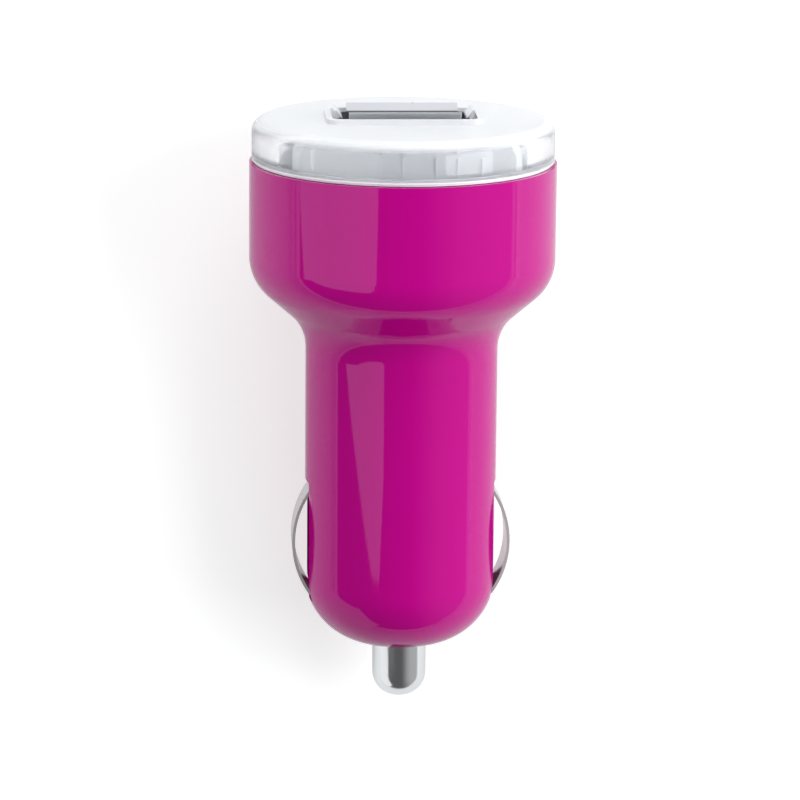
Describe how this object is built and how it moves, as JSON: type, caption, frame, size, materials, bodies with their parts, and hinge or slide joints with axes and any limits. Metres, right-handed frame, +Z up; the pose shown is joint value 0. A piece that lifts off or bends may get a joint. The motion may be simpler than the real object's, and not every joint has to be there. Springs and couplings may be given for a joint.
{
  "type": "car usb charger plug",
  "caption": "Short car charger plug with a flared round head, clear face with one port, side spring strips and a sprung tip contact.",
  "frame": {"origin": "on the table, under the middle of the plug's bounding box as it lies on its side", "axes": "+Y runs towards the head and its port, +X across the port's long side, +Z up; the plug's own axis rises towards the head by its natural lean on the table, in the YZ plane"},
  "size_m": [0.0314, 0.0628, 0.033],
  "materials": {
    "magenta_plastic": "glossy moulded plastic, deep magenta",
    "clear_plastic": "clear, slightly milky moulded plastic",
    "frosted_plastic": "frosted pale grey plastic with fine upright ribs",
    "nickel_sheet": "nickel-plated steel sheet",
    "nickel_strip": "nickel-plated spring steel strip",
    "chrome_tip": "bright chrome-plated turned metal",
    "spring_wire": "drawn spring steel wire",
    "white_plastic": "white moulded insulator",
    "plated_brass": "gold-coloured plated contact metal",
    "board_green": "green lacquered glass-fibre board",
    "can_sleeve": "dark blue shrink sleeve over an aluminium can",
    "ferrite": "dark grey ferrite",
    "copper_wire": "enamelled copper wire",
    "black_epoxy": "black moulded epoxy",
    "ceramic_tan": "tan ceramic",
    "led_lens": "pale clear resin lens"
  },
  "bodies": {
    "plug": {"housing": "magenta_plastic", "cap": "clear_plastic", "port_frame": "frosted_plastic", "usb_shell": "nickel_sheet", "usb_tongue": "white_plastic", "usb_pin_1": "plated_brass", "usb_pin_2": "plated_brass", "usb_pin_3": "plated_brass", "usb_pin_4": "plated_brass", "tip_spring": "spring_wire", "circuit_board": "board_green", "spring_plate": "plated_brass", "input_capacitor": "can_sleeve", "output_capacitor": "can_sleeve", "inductor_core": "ferrite", "inductor_winding": "copper_wire", "converter_chip": "black_epoxy", "rectifier_diode": "black_epoxy", "timing_capacitor": "ceramic_tan", "resistor_1": "black_epoxy", "resistor_2": "black_epoxy", "resistor_3": "black_epoxy", "indicator_led": "led_lens"},
    "tip": {"tip_contact": "chrome_tip"},
    "left_strip": {"left_contact": "nickel_strip"},
    "right_strip": {"right_contact": "nickel_strip"}
  },
  "joints": [
    {"name": "tip_press", "type": "slide", "parent": "plug", "child": "tip", "axis": [0, 0.9857, 0.1684], "range_m": [0, 0.0025], "stiffness_N_per_m": 400, "springref_m": -0.001, "deforming": ["tip_spring"]},
    {"name": "left_strip_press", "type": "slide", "parent": "plug", "child": "left_strip", "axis": [1, 0, 0], "range_m": [0, 0.0012], "stiffness_N_per_m": 1500, "springref_m": -0.0002},
    {"name": "right_strip_press", "type": "slide", "parent": "plug", "child": "right_strip", "axis": [-1, 0, 0], "range_m": [0, 0.0012], "stiffness_N_per_m": 1500, "springref_m": -0.0002}
  ]
}
